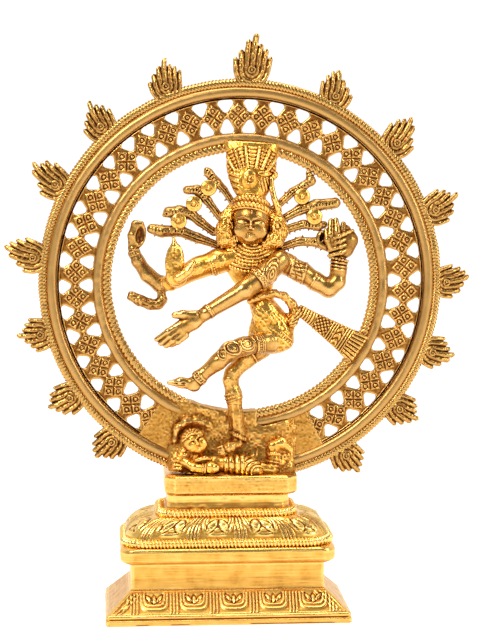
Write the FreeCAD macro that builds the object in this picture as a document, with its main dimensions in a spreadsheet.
import FreeCAD, Part

"""Brass nataraja statue, about 270 mm tall.

World frame: millimetres, +Z up, the statue faces -Y, origin on the resting plane under the centre of
the pedestal. Everything above the seat slab is drawn upright in a frame whose origin is the middle of
the seat's top, then leaned a few degrees towards +X, as the hand-finished casting is.
Pieces that are brazed together meet face to face: each is cut back by the ones made before it.
"""

import math
import os

import Sketcher
from FreeCAD import Placement, Rotation, Vector

PARTS_FOLDER = "parts"
SHEET = "Sizes"

# ---------------------------------------------------------------- driving dimensions (millimetres, degrees)
DRIVING = {
    # pedestal, from the resting plane up
    "wall": 3.0,
    "foot_width": 111.0, "foot_depth": 60.0, "foot_height": 5.2, "foot_corner": 1.2,
    "slope_height": 9.6, "slope_top_width": 90.4, "slope_top_depth": 41.4, "slope_corner": 1.5,
    "dado_width": 89.6, "dado_depth": 40.6, "dado_height": 12.0,
    "tray_width": 99.5, "tray_depth": 51.0, "tray_chamfer_height": 6.0, "tray_rim_height": 2.0,
    "tray_corner": 8.0, "tray_rope_diameter": 4.2,
    "lotus_width": 95.0, "lotus_depth": 46.5, "lotus_height": 9.1, "lotus_corner": 12.0,
    "lotus_top_width": 63.0, "lotus_top_depth": 34.0,
    "seat_rope_diameter": 4.6,
    "neck_width": 56.4, "neck_depth": 28.0, "neck_height": 9.5, "neck_corner": 8.0,
    "seat_width": 61.2, "seat_depth": 34.0, "seat_height": 9.2, "seat_corner": 4.5, "seat_bevel": 1.6,
    "seat_offset": 1.9,
    "tenon_radius": 3.0, "tenon_spacing": 34.0, "tenon_head_radius": 4.2, "tenon_head_height": 2.0,
    # ring of fire
    "lean": 3.5,
    "ring_centre_height": 88.6,
    "fringe_outer": 93.4, "fringe_depth": 4.4,
    "outer_rim_outer": 90.0, "outer_rim_inner": 85.0, "rim_depth": 6.0,
    "inner_rim_outer": 68.0, "inner_rim_inner": 64.0,
    "inner_rope_inner": 59.8, "rope_depth": 4.6,
    "lattice_depth": 3.4, "lattice_cells": 42.0,
    "hole_width": 7.5, "hole_height": 6.8, "hole_margin": 0.9,
    "web_half_angle": 30.0,
    "flame_width": 14.5, "flame_length": 16.0,
    "flame_depth": 4.4, "flame_sink": 0.6,
    "crest_flame_width": 17.0, "crest_flame_length": 22.0,
    # dancer
    "head_half_width": 8.6, "head_half_depth": 9.0, "head_half_height": 11.6,
    "diadem_radius": 9.9, "diadem_height": 6.4,
    "disc_radius": 4.0, "disc_depth": 3.2,
}

doc = FreeCAD.newDocument("Nataraja")
sheet = doc.addObject("Spreadsheet::Sheet", SHEET)
for row, (alias, value) in enumerate(DRIVING.items(), start=1):
    sheet.set(f"A{row}", alias)
    sheet.set(f"B{row}", str(value))
    sheet.setAlias(f"B{row}", alias)
doc.recompute()

nodes = []


class Size:
    """A length or angle: the expression that the document keeps, and the number that it gives now."""

    def __init__(self, text, number):
        self.text = text
        self.number = number

    def _with(self, sign, other, number):
        text = other.text if isinstance(other, Size) else repr(float(other))
        return Size(f"({self.text} {sign} {text})", number)

    def __add__(self, other):
        return self._with("+", other, self.number + plain(other))

    def __sub__(self, other):
        return self._with("-", other, self.number - plain(other))

    def __mul__(self, other):
        return self._with("*", other, self.number * plain(other))


def plain(value):
    return value.number if isinstance(value, Size) else float(value)


def size(alias):
    """The size kept in a cell of the sheet."""
    return Size(f"{SHEET}.{alias}", float(getattr(sheet, alias)))


def mixed(a, b, share):
    """The size that lies share of the way from a to b."""
    return a * (1 - share) + b * share


ZERO = Size("0", 0.0)


# ---------------------------------------------------------------- PartDesign helpers
def new_body(label):
    body = doc.addObject("PartDesign::Body", label)
    body.Label = label
    return body


def new_sketch(body, role, height=ZERO):
    """A sketch on one of the body's own origin planes, lifted by height."""
    sketch = body.newObject("Sketcher::SketchObject", "Sketch")
    plane = next(o for o in body.Origin.OriginFeatures if o.Role == role)
    sketch.AttachmentSupport = [(plane, "")]
    sketch.MapMode = "FlatFace"
    if height is not ZERO:
        sketch.setExpression("AttachmentOffset.Base.z", height.text)
    return sketch


def bind(sketch, constraint, name, amount):
    """Adds a dimension whose value is a Size."""
    index = sketch.addConstraint(constraint)
    sketch.renameConstraint(index, name)
    sketch.setExpression(f"Constraints.{name}", amount.text)


def rounded_rectangle(sketch, width, depth, corner):
    """A rectangle with round corners, centred on the sketch's origin."""
    a, b, r = width.number / 2, depth.number / 2, corner.number
    rule = Sketcher.Constraint
    ends = [((a - r, b), (r - a, b)), ((-a, b - r), (-a, r - b)),
            ((r - a, -b), (a - r, -b)), ((a, r - b), (a, b - r))]
    lines = [sketch.addGeometry(Part.LineSegment(Vector(*p, 0), Vector(*q, 0)), False) for p, q in ends]
    arcs = []
    for quarter, middle in enumerate([(a - r, b - r), (r - a, b - r), (r - a, r - b), (a - r, r - b)]):
        round_corner = Part.Circle(Vector(*middle, 0), Vector(0, 0, 1), r)
        start = quarter * math.pi / 2
        arcs.append(sketch.addGeometry(Part.ArcOfCircle(round_corner, start, start + math.pi / 2), False))
    rules = []
    for k in range(4):
        rules.append(rule("Tangent", arcs[k], 2, lines[k], 1))
        rules.append(rule("Tangent", lines[k], 2, arcs[(k + 1) % 4], 1))
    for k in (0, 2):
        rules.append(rule("Horizontal", lines[k]))
        rules.append(rule("Vertical", lines[k + 1]))
    rules += [rule("Equal", arcs[0], arcs[k]) for k in (1, 2, 3)]
    rules.append(rule("Symmetric", arcs[0], 3, arcs[2], 3, -1, 1))
    sketch.addConstraint(rules)
    bind(sketch, rule("Radius", arcs[0], r), "corner", corner)
    bind(sketch, rule("DistanceX", lines[1], 1, lines[3], 2, 2 * a), "across", width)
    bind(sketch, rule("DistanceY", lines[2], 1, lines[0], 1, 2 * b), "along", depth)


def circle(sketch, radius, name, place=None):
    """A circle on the sketch's own X axis, place from its origin."""
    x = place.number if place else 0.0
    index = sketch.addGeometry(Part.Circle(Vector(x, 0, 0), Vector(0, 0, 1), radius.number), False)
    if place:
        sketch.addConstraint(Sketcher.Constraint("PointOnObject", index, 3, -1))
        bind(sketch, Sketcher.Constraint("DistanceX", -1, 1, index, 3, x), f"{name}_place", place)
    else:
        sketch.addConstraint(Sketcher.Constraint("Coincident", index, 3, -1, 1))
    bind(sketch, Sketcher.Constraint("Radius", index, radius.number), name, radius)


def closed_outline(sketch, corners, tag=""):
    """Straight edges through corners, each corner an (x, y) pair of Sizes."""
    points = [Vector(x.number, y.number, 0) for x, y in corners]
    count = len(points)
    edges = [sketch.addGeometry(Part.LineSegment(points[k], points[(k + 1) % count]), False)
             for k in range(count)]
    sketch.addConstraint([Sketcher.Constraint("Coincident", edges[k - 1], 2, edges[k], 1)
                          for k in range(count)])
    for k, pair in enumerate(corners):
        for letter, amount, axis in (("X", pair[0], -2), ("Y", pair[1], -1)):
            if amount is ZERO:
                sketch.addConstraint(Sketcher.Constraint("PointOnObject", edges[k], 1, axis))
            else:
                dimension = Sketcher.Constraint(f"Distance{letter}", -1, 1, edges[k], 1, amount.number)
                bind(sketch, dimension, f"{letter}{tag}{k}", amount)


def pad(body, sketch, length, midplane=False):
    feature = body.newObject("PartDesign::Pad", "Pad")
    feature.Profile = sketch
    feature.setExpression("Length", length.text)
    feature.SideType = "Symmetric" if midplane else "One side"
    return feature


def pocket_through(body, sketch):
    feature = body.newObject("PartDesign::Pocket", "Pocket")
    feature.Profile = sketch
    feature.Type = "ThroughAll"
    feature.SideType = "Symmetric"
    return feature


def loft(body, sections, subtractive=False):
    """A loft through rounded rectangles, each (height, width, depth, corner)."""
    sketches = []
    for height, width, depth, corner in sections:
        sketch = new_sketch(body, "XY_Plane", height)
        rounded_rectangle(sketch, width, depth, corner)
        sketches.append(sketch)
    kind = "PartDesign::SubtractiveLoft" if subtractive else "PartDesign::AdditiveLoft"
    feature = body.newObject(kind, "Loft")
    feature.Profile = sketches[0]
    feature.Sections = sketches[1:]
    feature.Ruled = len(sketches) == 2
    return feature


def keep(obj, label):
    """obj is a finished piece called label."""
    obj.Label = label
    nodes.append(obj)
    return obj


def cut(base, tool, label):
    """A finished piece: base without tool."""
    result = doc.addObject("Part::Cut", label)
    result.Base, result.Tool = base, tool
    return keep(result, label)


# ---------------------------------------------------------------- pedestal
def section(name, corner=None):
    """The width, depth and corner radius of one level of the pedestal."""
    return size(f"{name}_width"), size(f"{name}_depth"), size(corner or f"{name}_corner")


def hollow_tier(label, base, height, bottom, top):
    """A straight or sloping wall of the pedestal, standing at base."""
    body = new_body(label)
    loft(body, [(ZERO, *bottom), (height, *top)])
    doc.recompute()
    shrink = size("wall") * 2
    inside = [(lift, width - shrink, depth - shrink, corner)
              for lift, (width, depth, corner) in ((ZERO, bottom), (height, top))]
    loft(body, inside, subtractive=True)
    body.setExpression("Placement.Base.z", base.text)
    return keep(body, label)


slope_base = size("foot_height")
dado_base = slope_base + size("slope_height")
tray_base = dado_base + size("dado_height")
tray_top = tray_base + size("tray_chamfer_height") + size("tray_rim_height")
lotus_base = tray_top + size("tray_rope_diameter")
lotus_top = lotus_base + size("lotus_height")
neck_top = lotus_top + size("neck_height")
seat_top = neck_top + size("seat_height")

FOOT = section("foot")
SLOPE_TOP = section("slope_top", "slope_corner")
DADO = section("dado", "slope_corner")
NECK = section("neck")

hollow_tier("plinth_foot", ZERO, size("foot_height"), FOOT, FOOT)
hollow_tier("plinth_slope", slope_base, size("slope_height"), FOOT, SLOPE_TOP)
hollow_tier("plinth_dado", dado_base, size("dado_height"), DADO, DADO)


def lotus_tray():
    """The slab that carries the lotus: a wall that flares outwards, then an upright rim."""
    body = new_body("lotus_tray")
    flare = size("tray_chamfer_height")
    foot_line = (ZERO, size("dado_width"), size("dado_depth"), size("tray_corner"))
    loft(body, [foot_line, (flare, *section("tray"))])
    rim = new_sketch(body, "XY_Plane", flare)
    rounded_rectangle(rim, *section("tray"))
    pad(body, rim, size("tray_rim_height"))
    doc.recompute()
    hole = new_sketch(body, "XY_Plane")
    shrink = size("wall") * 2
    rounded_rectangle(hole, size("dado_width") - shrink, size("dado_depth") - shrink,
                      size("slope_corner"))
    pocket_through(body, hole)
    body.setExpression("Placement.Base.z", tray_base.text)
    return keep(body, "lotus_tray")


lotus_tray()


def rope_course(label, base, diameter, width, depth, corner):
    """A round moulding carried once around a tier. width and depth are its outer size, corner the
    bend of its centre line."""
    body = new_body(label)
    centre_line = new_sketch(body, "XY_Plane")
    rounded_rectangle(centre_line, width - diameter, depth - diameter, corner)
    profile = new_sketch(body, "YZ_Plane")
    circle(profile, diameter * 0.5, "strand", (depth - diameter) * 0.5)
    pipe = body.newObject("PartDesign::AdditivePipe", "Pipe")
    pipe.Profile = profile
    pipe.Spine = (centre_line, [])
    pipe.Mode = "Frenet"
    pipe.Transition = "Transformed"
    body.setExpression("Placement.Base.z", (base + diameter * 0.5).text)
    return keep(body, label)


rope_course("tray_rope", tray_top, size("tray_rope_diameter"), *section("tray"))


def lotus_dome():
    """The swelling lotus tier: a quarter-ellipse profile, hollow below a flat deck with two tenon holes."""
    body = new_body("lotus_dome")
    levels = []
    for share in (0, 0.25, 0.5, 0.75, 1):
        out, up = math.cos(share * math.pi / 2), math.sin(share * math.pi / 2)
        spread = [mixed(size(f"lotus_top_{side}"), size(f"lotus_{side}"), out)
                  for side in ("width", "depth")]
        levels.append((size("lotus_height") * up if share else ZERO, *spread, size("lotus_corner")))
    loft(body, levels)
    doc.recompute()
    well = new_sketch(body, "XY_Plane")
    shrink = size("wall") * 2
    rounded_rectangle(well, size("lotus_top_width") - shrink, size("lotus_top_depth") - shrink,
                      size("slope_corner"))
    hollow = body.newObject("PartDesign::Pocket", "Pocket")
    hollow.Profile = well
    hollow.setExpression("Length", (size("lotus_height") - size("wall")).text)
    hollow.Reversed = True
    doc.recompute()
    holes = new_sketch(body, "XY_Plane")
    for side, name in ((-0.5, "left_hole"), (0.5, "right_hole")):
        circle(holes, size("tenon_radius"), name, size("tenon_spacing") * side)
    pocket_through(body, holes)
    body.setExpression("Placement.Base.z", lotus_base.text)
    return keep(body, "lotus_dome")


lotus_dome()
rope_diameter = size("seat_rope_diameter")
rope_course("seat_rope", lotus_top, rope_diameter, NECK[0] + rope_diameter * 2, NECK[1] + rope_diameter * 2,
            NECK[2] + rope_diameter * 0.5)
hollow_tier("seat_neck", lotus_top, size("neck_height"), NECK, NECK)


def seat_slab():
    """The flat seat that carries the ring, the dwarf and the dancer; its corners are cut at 45 degrees
    and its under-edge slopes in to the neck."""
    body = new_body("seat_slab")
    half_width, half_depth = size("seat_width") * 0.5, size("seat_depth") * 0.5
    short_width, short_depth = half_width - size("seat_corner"), half_depth - size("seat_corner")
    outline = []
    for sx, sy in ((1, 1), (-1, 1), (-1, -1), (1, -1)):
        on_long_side = (short_width * sx, half_depth * sy)
        on_short_side = (half_width * sx, short_depth * sy)
        outline += [on_short_side, on_long_side] if sx * sy > 0 else [on_long_side, on_short_side]
    face = new_sketch(body, "XY_Plane")
    closed_outline(face, outline)
    slab = pad(body, face, size("seat_height"))
    doc.recompute()
    under = [f"Edge{k + 1}" for k, edge in enumerate(slab.Shape.Edges) if edge.BoundBox.ZMax < 1e-6]
    bevel = body.newObject("PartDesign::Chamfer", "Chamfer")
    bevel.Base = (slab, under)
    bevel.setExpression("Size", size("seat_bevel").text)
    body.setExpression("Placement.Base.z", neck_top.text)
    body.setExpression("Placement.Base.x", size("seat_offset").text)
    return keep(body, "seat_slab")


seat_slab()


def seat_tenons():
    """Two cast pegs under the seat, through the lotus deck, with their ends hammered over beneath it."""
    deck_underside = lotus_top - size("wall")
    pegs = []
    for side in (-0.5, 0.5):
        peg = doc.addObject("Part::Cylinder", "Peg")
        peg.setExpression("Radius", size("tenon_radius").text)
        peg.setExpression("Height", (size("neck_height") + size("wall")).text)
        peg.setExpression("Placement.Base.z", deck_underside.text)
        head = doc.addObject("Part::Cone", "PeenedHead")
        head.setExpression("Radius1", size("tenon_radius").text)
        head.setExpression("Radius2", size("tenon_head_radius").text)
        head.setExpression("Height", size("tenon_head_height").text)
        head.setExpression("Placement.Base.z", (deck_underside - size("tenon_head_height")).text)
        for piece in (peg, head):
            piece.setExpression("Placement.Base.x", (size("tenon_spacing") * side).text)
        whole = doc.addObject("Part::Fuse", "Tenon")
        whole.Base, whole.Tool = peg, head
        pegs.append(whole)
    pair = doc.addObject("Part::Compound", "seat_tenons")
    pair.Links = pegs
    return keep(pair, "seat_tenons")


seat_tenons()
doc.recompute()

# ---------------------------------------------------------------- the leaning frame above the seat
SEAT_MIDDLE = Vector(size("seat_offset").number, 0, seat_top.number)
LEANING = Placement(SEAT_MIDDLE, Rotation(Vector(0, 1, 0), size("lean").number))
RING_PLACE = LEANING.multiply(Placement(Vector(0, 0, size("ring_centre_height").number), Rotation()))


def lean_about_seat(obj, rise):
    """Places obj in the leaning frame, rise above the seat's top along the leaning upright."""
    lean = f"({size('lean').text} * 1deg)"
    obj.setExpression("Placement.Rotation.Axis.x", "0")
    obj.setExpression("Placement.Rotation.Axis.y", "1")
    obj.setExpression("Placement.Rotation.Axis.z", "0")
    obj.setExpression("Placement.Rotation.Angle", lean)
    obj.setExpression("Placement.Base.x", f"{size('seat_offset').text} + {rise.text} * sin{lean}")
    obj.setExpression("Placement.Base.z", f"{seat_top.text} + {rise.text} * cos{lean}")


def everything_below_seat():
    box = doc.addObject("Part::Box", "BelowSeat")
    box.Length, box.Width = 200, 100
    box.Placement.Base = Vector(-100, -50, 0)
    box.setExpression("Height", seat_top.text)
    return box


below_seat = everything_below_seat()


# ---------------------------------------------------------------- ring of fire
def turned_ring(label, inner, outer, depth, bevel):
    """A bar bent into a ring about the leaning frame's Y axis, its four corners bevelled by a share of
    its width."""
    body = new_body(f"{label}_turned")
    low, high = mixed(inner, outer, bevel), mixed(outer, inner, bevel)
    face, waist = depth * 0.5, depth * 0.3
    corners = [(inner, waist * -1), (low, face * -1), (high, face * -1), (outer, waist * -1),
               (outer, waist), (high, face), (low, face), (inner, waist)]
    profile = new_sketch(body, "XY_Plane")
    closed_outline(profile, corners)
    turn = body.newObject("PartDesign::Revolution", "Revolution")
    turn.Profile = profile
    turn.ReferenceAxis = (profile, ["V_Axis"])
    turn.Angle = 360
    lean_about_seat(body, size("ring_centre_height"))
    return body


def flat_band(label):
    """The band between the rims, before anything is pierced."""
    body = new_body(label)
    face = new_sketch(body, "XZ_Plane")
    circle(face, size("outer_rim_inner"), "outside")
    circle(face, size("inner_rim_outer"), "inside")
    pad(body, face, size("lattice_depth"), midplane=True)
    lean_about_seat(body, size("ring_centre_height"))
    return body


def pierced_band():
    """The band with its cells: in each, a hole on the outer rim and one on the inner rim, every hole
    wide at its rim and narrowing to a blunt tip."""
    body = flat_band("band_pierced")
    doc.recompute()
    holes = new_sketch(body, "XZ_Plane")
    half = size("hole_width") * 0.5
    outer_row = size("outer_rim_inner") - size("hole_margin")
    inner_row = size("inner_rim_outer") + size("hole_margin")
    for row, towards, tag in ((outer_row, -1, "outer"), (inner_row, 1, "inner")):
        tip = row + size("hole_height") * towards
        shoulder = row + size("hole_height") * (0.45 * towards)
        closed_outline(holes, [(half * -0.72, row), (half * 0.72, row), (half, shoulder),
                               (half * 0.3, tip), (half * -0.3, tip), (half * -1, shoulder)], tag)
    first_cell = pocket_through(body, holes)
    doc.recompute()
    pattern = body.newObject("PartDesign::PolarPattern", "Cells")
    pattern.Originals = [first_cell]
    pattern.Axis = (holes, ["N_Axis"])
    pattern.setExpression("Occurrences", size("lattice_cells").text)
    pattern.Angle = 360
    pattern.Refine = False
    body.Tip = pattern
    return body


def web_wedge():
    """The sector at the bottom of the ring that is left solid."""
    body = new_body("WebWedge")
    face = new_sketch(body, "XZ_Plane")
    reach = 2.0
    spread = reach * math.tan(math.radians(size("web_half_angle").number))
    outer = size("fringe_outer")
    closed_outline(face, [(ZERO, ZERO), (outer * -spread, outer * -reach), (outer * spread, outer * -reach)])
    pad(body, face, size("rim_depth"), midplane=True)
    lean_about_seat(body, size("ring_centre_height"))
    return body


wedge = web_wedge()
turned = {
    "outer_rim": turned_ring("outer_rim", size("outer_rim_inner"), size("outer_rim_outer"),
                             size("rim_depth"), 0.25),
    "outer_fringe": turned_ring("outer_fringe", size("outer_rim_outer"), size("fringe_outer"),
                                size("fringe_depth"), 0.3),
}
for label, whole_ring in turned.items():
    cut(whole_ring, below_seat, label)
keep(turned_ring("inner_rim", size("inner_rim_inner"), size("inner_rim_outer"), size("rim_depth"), 0.25),
     "inner_rim")
keep(turned_ring("inner_rope", size("inner_rope_inner"), size("inner_rim_inner"), size("rope_depth"), 0.3),
     "inner_rope")
cut(pierced_band(), wedge, "lattice")
web_sector = doc.addObject("Part::Common", "WebSector")
web_sector.Base, web_sector.Tool = flat_band("band_solid"), wedge
cut(web_sector, below_seat, "foot_web")

# A tongue of fire, from its root on the left to its root on the right: (share of width, share of length).
FLAME_OUTLINE = [(-0.30, 0.0), (-0.50, 0.38), (-0.47, 0.60), (-0.34, 0.52), (-0.30, 0.82), (-0.13, 0.72),
                 (-0.06, 1.0), (0.06, 1.0), (0.13, 0.72), (0.30, 0.84), (0.34, 0.54), (0.49, 0.64),
                 (0.50, 0.38), (0.30, 0.0)]


def flame(label, angle, width, length, ring_edge):
    """One tongue of fire: five points rising from a narrow root that follows the fringe."""
    body = new_body(f"{label}_outline")
    face = new_sketch(body, "XZ_Plane")
    root = size("fringe_outer") - size("flame_sink")
    rise = length + size("flame_sink")
    closed_outline(face, [(width * x, root + rise * y) for x, y in FLAME_OUTLINE])
    pad(body, face, size("flame_depth"), midplane=True)
    body.Placement = RING_PLACE.multiply(Placement(Vector(), Rotation(Vector(0, 1, 0), angle)))
    return cut(body, ring_edge, label)


# The tongues by hand: (degrees clockwise from the top, share of the usual length), left to right.
LEFT_FLAMES = [(-144.5, 0.86), (-127.5, 0.90), (-108.0, 0.88), (-86.5, 1.12), (-65.5, 1.13), (-45.5, 1.01),
               (-24.5, 1.01)]
RIGHT_FLAMES = [(23.5, 0.94), (45.0, 1.10), (66.5, 1.07), (87.0, 0.90), (107.0, 0.87), (125.5, 0.86),
                (145.5, 0.85)]
CREST = (0.0, 1.0)


def flames():
    """The tongues of fire, set and cut by eye, the middle one a taller crest."""
    ring_edge = doc.addObject("Part::Cylinder", "RingEdge")
    ring_edge.setExpression("Radius", size("fringe_outer").text)
    ring_edge.setExpression("Height", (size("rim_depth") * 2).text)
    middle = Placement(Vector(0, size("rim_depth").number, 0), Rotation(Vector(1, 0, 0), 90))
    ring_edge.Placement = RING_PLACE.multiply(middle)
    for number, (angle, share) in enumerate([*LEFT_FLAMES, CREST, *RIGHT_FLAMES], start=1):
        kind = "crest_flame" if angle == CREST[0] else "flame"
        flame(f"flame_{number:02d}", angle, size(f"{kind}_width"), size(f"{kind}_length") * share, ring_edge)


flames()
doc.recompute()


# ---------------------------------------------------------------- shapes of the dancer and the dwarf
# Points are in the leaning frame: x to the viewer's right, y to the back, z up from the seat.
def limb(*stations):
    """A tapering round limb through stations (x, y, z, radius), with rounded joints and ends.
    Neighbouring radii differ, so that every run is a cone."""
    solids = [Part.makeSphere(radius, Vector(x, y, z)) for x, y, z, radius in stations]
    for (ax, ay, az, start_radius), (bx, by, bz, end_radius) in zip(stations, stations[1:]):
        start, end = Vector(ax, ay, az), Vector(bx, by, bz)
        along = end - start
        solids.append(Part.makeCone(start_radius, end_radius, along.Length, start, along))
    whole = fused(*solids)
    if whole.Volume < max(solid.Volume for solid in solids):
        raise RuntimeError(f"the limb through {stations} was not fused")
    return whole


def oval_loft(*sections):
    """A body through level ovals (x, y, z, half width, half depth)."""
    wires = []
    for x, y, z, wide, deep in sections:
        oval = Part.Ellipse(Vector(0, 0, 0), max(wide, deep), min(wide, deep)).toShape()
        if deep > wide:
            oval.rotate(Vector(0, 0, 0), Vector(0, 0, 1), 90)
        oval.translate(Vector(x, y, z))
        wires.append(Part.Wire([oval]))
    return Part.makeLoft(wires, True, False)


def oval_ball(x, y, z, wide, deep, tall):
    """An ellipsoid of the given half sizes."""
    stretch = FreeCAD.Matrix()
    stretch.scale(wide, deep, tall)
    ball = Part.makeSphere(1.0).transformGeometry(stretch)
    ball.translate(Vector(x, y, z))
    return ball


def plate(corners, front, thick):
    """A flat plate with corners (x, z), its front face at y = front."""
    points = [Vector(x, front, z) for x, z in corners]
    face = Part.Face(Part.makePolygon(points + points[:1]))
    return face.extrude(Vector(0, thick, 0))


def flower_discs(front, *centres):
    """Flower discs strung between the locks of hair, facing forward, at (x, z) places."""
    return Part.makeCompound([Part.makeCylinder(size("disc_radius").number, size("disc_depth").number,
                                                Vector(x, front, z), Vector(0, 1, 0))
                              for x, z in centres])


def fused(*shapes):
    return shapes[0].multiFuse(shapes[1:]).removeSplitter()


def trunk_and_head():
    """The dancer's body, head and headdress, by name."""
    torso = oval_loft((3.4, -4.6, 106.0, 3.9, 3.8), (3.6, -4.5, 102.5, 5.6, 4.2),
                      (4.4, -4.2, 99.4, 13.0, 4.8), (5.0, -4.4, 94.5, 12.4, 6.0),
                      (6.8, -4.2, 87.5, 8.6, 5.2), (9.4, -4.2, 80.5, 6.8, 4.9))
    hips = oval_loft((9.4, -4.2, 80.5, 6.8, 4.9), (11.3, -4.3, 73.5, 8.8, 5.6),
                     (13.2, -4.5, 66.5, 11.6, 6.4), (13.4, -4.6, 60.0, 8.4, 5.6))
    head = oval_ball(2.8, -5.4, 116.6, size("head_half_width").number, size("head_half_depth").number,
                     size("head_half_height").number)
    diadem = Part.makeCylinder(size("diadem_radius").number, size("diadem_height").number,
                               Vector(2.6, -5.0, 122.6), Vector(-0.02, 0.1, 1))
    crown = oval_loft((2.2, -4.4, 128.6, 8.4, 7.4), (1.8, -4.0, 136.0, 10.6, 6.4),
                      (1.4, -3.4, 144.5, 11.8, 5.2), (1.0, -2.8, 153.4, 8.6, 3.8))
    ear_left = limb((-6.4, -4.6, 117.5, 2.6), (-8.2, -4.6, 110.5, 4.0), (-7.6, -4.8, 106.0, 2.8))
    ear_right = limb((12.0, -4.6, 117.5, 2.6), (14.0, -4.6, 110.5, 4.0), (13.0, -4.8, 106.0, 2.8))
    necklace = Part.makeCompound([Part.makeTorus(major, 1.3, Vector(3.8, -5.0, height), Vector(0, -0.42, 1))
                                  for major, height in ((6.2, 102.4), (8.4, 99.0), (10.4, 95.0))])
    return {"torso": torso, "hips": hips, "head": head, "diadem": diadem, "crown": crown,
            "ear_ornament_left": ear_left, "ear_ornament_right": ear_right, "necklace": necklace}


def arms():
    """The dancer's four arms and what the rear hands hold."""
    crossing = limb((17.2, -6.0, 98.6, 4.7), (8.9, -12.6, 92.4, 4.3), (-4.0, -15.0, 82.6, 3.7),
                    (-17.3, -16.0, 73.0, 2.6), (-25.4, -16.0, 67.2, 4.1), (-32.5, -16.0, 62.0, 3.5),
                    (-38.0, -15.6, 58.6, 1.7))
    blessing = fused(limb((-8.6, -5.0, 97.6, 4.8), (-22.0, -6.0, 92.0, 4.2), (-35.0, -7.4, 86.2, 3.6),
                          (-31.6, -12.4, 91.0, 3.9), (-31.6, -12.8, 101.0, 3.0), (-31.7, -12.4, 107.4, 1.0)),
                     limb((-30.5, -12.6, 89.6, 2.1), (-22.6, -12.8, 97.2, 1.5)))
    rear_right = limb((-12.0, -1.6, 96.0, 3.6), (-36.4, -1.8, 84.6, 3.4), (-44.6, -2.0, 90.6, 3.1),
                      (-50.2, -2.2, 98.2, 2.5), (-52.0, -2.6, 105.6, 2.7), (-50.0, -2.6, 112.2, 2.1),
                      (-46.6, -3.0, 109.8, 2.5))
    rear_left = limb((17.0, -2.0, 98.4, 4.6), (30.6, -2.2, 92.8, 4.3), (42.0, -2.4, 86.6, 3.8),
                     (45.4, -2.4, 91.4, 3.6), (45.2, -2.4, 99.6, 3.1), (46.4, -2.6, 105.4, 4.6))
    serpent = limb((-36.6, -3.0, 81.6, 2.3), (-35.6, -3.2, 77.4, 2.6), (-39.4, -3.4, 74.0, 2.5),
                   (-45.0, -3.4, 75.0, 2.7), (-50.4, -3.4, 79.0, 2.4))
    bowl = fused(limb((41.4, -2.6, 110.0, 3.4), (44.6, -2.6, 119.6, 1.4)),
                 limb((44.4, -3.2, 109.4, 4.0), (48.6, -2.8, 117.6, 2.0)),
                 limb((48.4, -2.6, 108.0, 4.4), (52.4, -2.4, 112.4, 2.6)))
    return {"front_left_arm": crossing, "front_right_arm": blessing, "rear_right_arm": rear_right,
            "rear_left_arm": rear_left, "serpent": serpent, "fire_bowl": bowl}


def legs_and_sash():
    """The dancer's legs, and the sash that loops out behind the waist and flares onto the ring."""
    raised = limb((15.2, -6.2, 63.4, 6.4), (6.0, -12.2, 60.4, 5.2), (-2.6, -15.0, 57.2, 4.1),
                  (-10.2, -14.4, 50.4, 3.4), (-17.7, -13.4, 43.8, 2.9), (-20.6, -13.4, 40.4, 3.2),
                  (-25.2, -13.4, 39.3, 2.6), (-31.0, -13.4, 39.4, 1.2))
    standing = limb((10.0, -4.6, 60.4, 6.2), (3.6, -7.2, 52.4, 4.9), (-1.0, -8.6, 45.0, 4.1),
                    (-0.4, -8.4, 34.6, 4.0), (1.6, -7.8, 24.6, 3.7), (3.2, -7.4, 15.6, 3.5),
                    (-1.0, -9.6, 11.6, 3.0), (-6.0, -10.8, 9.6, 2.2))
    loop = limb((11.0, -9.4, 88.0, 1.9), (18.6, -8.2, 87.2, 2.1), (24.0, -6.0, 83.4, 2.0),
                (27.4, -4.8, 78.4, 2.2), (22.8, -6.0, 71.0, 2.4))
    end = plate([(25.6, 75.6), (28.6, 81.2), (45.6, 73.6), (62.2, 63.6), (66.4, 57.6), (57.8, 50.4),
                 (55.0, 53.6), (41.4, 66.8)], -6.4, 2.4)
    return {"raised_leg": raised, "standing_leg": standing, "sash": fused(loop, end)}


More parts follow.
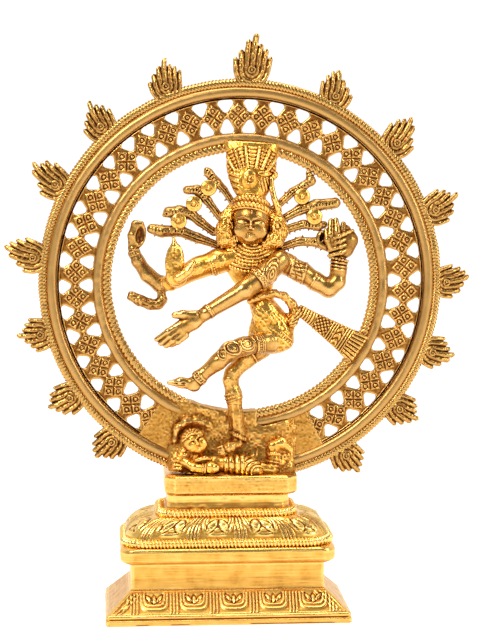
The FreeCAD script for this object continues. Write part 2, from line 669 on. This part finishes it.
def flying_hair():
    """The locks that stream out on both sides of the head, and the flower discs between them."""
    left = [limb((-9.8, -2.0, 105.2, 2.2), (-19.0, -1.8, 107.6, 1.9), (-28.3, -1.6, 110.2, 2.0),
                 (-38.4, -1.6, 108.8, 1.9), (-41.4, -1.2, 111.8, 1.5)),
            limb((-12.8, -1.4, 113.4, 2.1), (-18.2, -2.0, 116.6, 1.8), (-25.2, -1.5, 120.4, 2.0),
                 (-32.0, -1.9, 119.4, 1.8), (-37.4, -1.5, 117.0, 1.5)),
            limb((-8.8, -1.9, 118.6, 2.0), (-13.4, -1.8, 121.8, 1.8), (-19.6, -1.6, 127.6, 1.9),
                 (-26.6, -1.6, 128.6, 1.7)),
            limb((-4.6, -2.2, 122.0, 1.9), (-7.4, -1.8, 128.0, 1.7), (-11.2, -1.6, 134.0, 1.9),
                 (-16.2, -1.6, 136.8, 1.8), (-18.8, -1.6, 140.2, 1.5))]
    right = [limb((12.6, -2.4, 122.6, 1.9), (16.4, -1.8, 129.0, 1.7), (20.2, -1.6, 133.4, 1.9),
                  (26.6, -1.6, 134.6, 1.8), (30.2, -1.6, 138.8, 1.5)),
             limb((13.4, -2.4, 117.0, 2.0), (20.0, -1.8, 121.0, 1.9), (27.2, -1.6, 124.8, 2.0),
                  (34.0, -1.6, 127.0, 1.9), (41.4, -1.6, 129.0, 1.7)),
             limb((14.0, -2.4, 111.4, 1.9), (22.0, -1.8, 114.4, 2.0), (31.6, -1.6, 116.2, 1.9),
                  (37.0, -1.6, 115.0, 1.8)),
             limb((14.0, -2.4, 105.4, 2.0), (22.0, -1.8, 108.2, 1.9), (30.6, -1.6, 109.4, 2.0),
                  (38.6, -1.6, 106.8, 1.8))]
    front = -4.2
    return {"hair_locks_left": Part.makeCompound(left), "hair_locks_right": Part.makeCompound(right),
            "hair_discs_left": flower_discs(front, (-30.6, 114.6), (-23.8, 123.4), (-17.4, 131.2)),
            "hair_discs_right": flower_discs(front, (25.2, 129.4), (32.0, 120.6))}


def dwarf():
    """The dwarf that the dancer stands on, and the stippled mound that it lies on."""
    torso = limb((-14.0, -9.4, 5.2, 4.2), (-6.0, -9.4, 5.6, 4.8), (3.0, -9.0, 5.4, 5.2),
                 (12.0, -9.2, 4.6, 4.7))
    head = fused(oval_ball(-16.0, -12.2, 13.0, 5.6, 5.8, 6.2), oval_ball(-20.6, -9.6, 10.4, 3.6, 4.2, 4.6))
    arm = limb((-21.6, -11.8, 5.2, 2.3), (-14.2, -14.8, 3.3, 2.1), (-7.2, -14.6, 3.8, 2.9))
    leg = limb((15.6, -8.6, 4.4, 3.2), (20.2, -8.6, 3.2, 3.0), (20.8, -8.4, 8.4, 2.6),
               (23.4, -8.2, 13.2, 3.0), (27.0, -7.6, 12.6, 2.4))
    mound = oval_loft((1.0, -5.6, -2.0, 29.6, 9.6), (1.0, -4.6, 3.6, 28.6, 7.8), (0.6, -2.6, 12.0, 24.0, 4.4),
                      (0.0, -1.6, 22.0, 16.0, 2.6))
    return {"dwarf_torso": torso, "dwarf_head": head, "dwarf_arm": arm, "dwarf_leg": leg,
            "dwarf_mound": mound}


SLIVER = 0.02       # share of a solid's own volume


def box_of(shape):
    return shape.optimalBoundingBox(False, False)


def reaches_ring(box):
    """Whether a box in the leaning frame comes as far out as the inside of the ring."""
    middle = size("ring_centre_height").number
    farthest = max(math.hypot(x, z - middle) for x in (box.XMin, box.XMax) for z in (box.ZMin, box.ZMax))
    return farthest > size("inner_rope_inner").number


def trimmed(pieces, ring, seat):
    """Each piece cut back by the seat, the ring and the pieces made before it, so that none overlap.
    What a cut leaves of a solid smaller than a sliver is dropped."""
    done = {}
    for name, shape in pieces.items():
        solids = []
        for whole in shape.Solids:
            reach = box_of(whole)
            others = [seat, *done.values(), *(ring if reaches_ring(reach) else [])]
            near = [tool for other in others for tool in other.Solids if reach.intersect(box_of(tool))]
            left = whole.cut(near).Solids if near else [whole]
            solids += [part for part in left if part.Volume > SLIVER * whole.Volume]
        done[name] = solids[0] if len(solids) == 1 else Part.makeCompound(solids)
        print(f"{name:20s} keeps {done[name].Volume / shape.Volume:5.0%} of its own shape")
    return done


def in_leaning_frame(obj):
    """A copy of a finished piece's shape, moved back into the leaning frame."""
    moved = obj.Shape.copy()
    moved.transformShape(LEANING.inverse().toMatrix())
    return moved


touched = ("inner_rim", "inner_rope", "foot_web", "outer_rim", "outer_fringe")
ring_shapes = [in_leaning_frame(obj) for obj in nodes if obj.Label in touched]
figure = {**trunk_and_head(), **arms(), **legs_and_sash(), **flying_hair(), **dwarf()}
for label, shape in trimmed(figure, ring_shapes, in_leaning_frame(below_seat)).items():
    piece = doc.addObject("Part::Feature", label)
    piece.Shape = shape
    piece.Placement = LEANING
    keep(piece, label)


# ---------------------------------------------------------------- checks, then one STEP file per node
def write_parts():
    doc.recompute()
    failed = [o.Label for o in doc.Objects if {"Invalid", "Error"} & set(o.State)]
    if failed:
        raise RuntimeError(f"these objects failed to recompute: {failed}")
    for obj in nodes:
        if obj.Shape.isNull() or not obj.Shape.isValid() or not obj.Shape.Solids:
            raise RuntimeError(f"{obj.Label} has no valid solid")
    os.makedirs(PARTS_FOLDER, exist_ok=True)
    for obj in nodes:
        obj.Shape.exportStep(os.path.join(PARTS_FOLDER, f"{obj.Label}.step"))
        print(f"{obj.Label:20s} {len(obj.Shape.Solids):2d} solids, {obj.Shape.Volume / 1000:6.2f} cm3")
    print(len(nodes), "nodes,", round(sum(obj.Shape.Volume for obj in nodes) / 1000, 1), "cm3")


write_parts()
